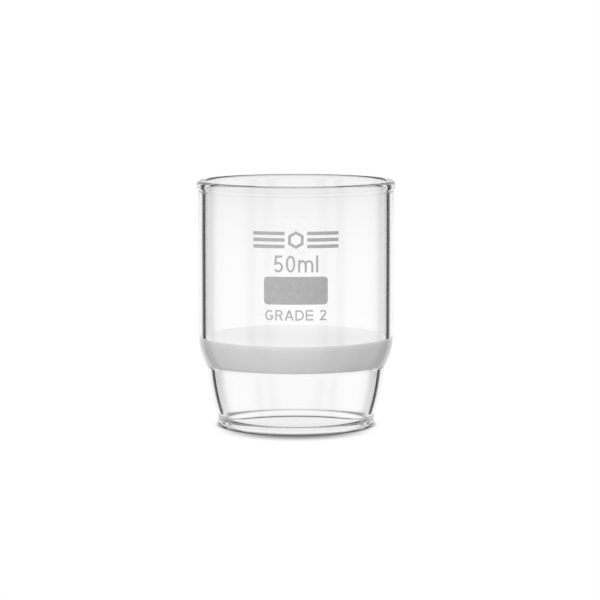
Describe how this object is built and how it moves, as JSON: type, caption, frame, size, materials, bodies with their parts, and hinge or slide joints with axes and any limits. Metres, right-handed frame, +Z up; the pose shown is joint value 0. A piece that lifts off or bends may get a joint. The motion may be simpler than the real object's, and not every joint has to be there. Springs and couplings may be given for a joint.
{
  "type": "filter crucible",
  "caption": "Straight glass filter crucible with a fused porous glass disc across its lower part and a tapered open skirt with a rounded foot rim.",
  "frame": {"origin": "centre of the foot, on the surface that the crucible stands on", "axes": "+Z up the axis to the rim, -Y towards the side with the enamel marks"},
  "size_m": [0.0468, 0.0468, 0.058],
  "materials": {
    "glass": "clear fire-polished borosilicate",
    "sintered_glass": "matt white, fine open grain",
    "enamel": "matt fired grey enamel"
  },
  "bodies": {
    "root": {"cup_barrel": "glass", "seal_ring": "glass", "sintered_disc": "sintered_glass", "skirt": "glass", "emblem_mark": "enamel", "capacity_mark": "enamel", "write_on_panel": "enamel", "grade_mark": "enamel"}
  },
  "joints": []
}
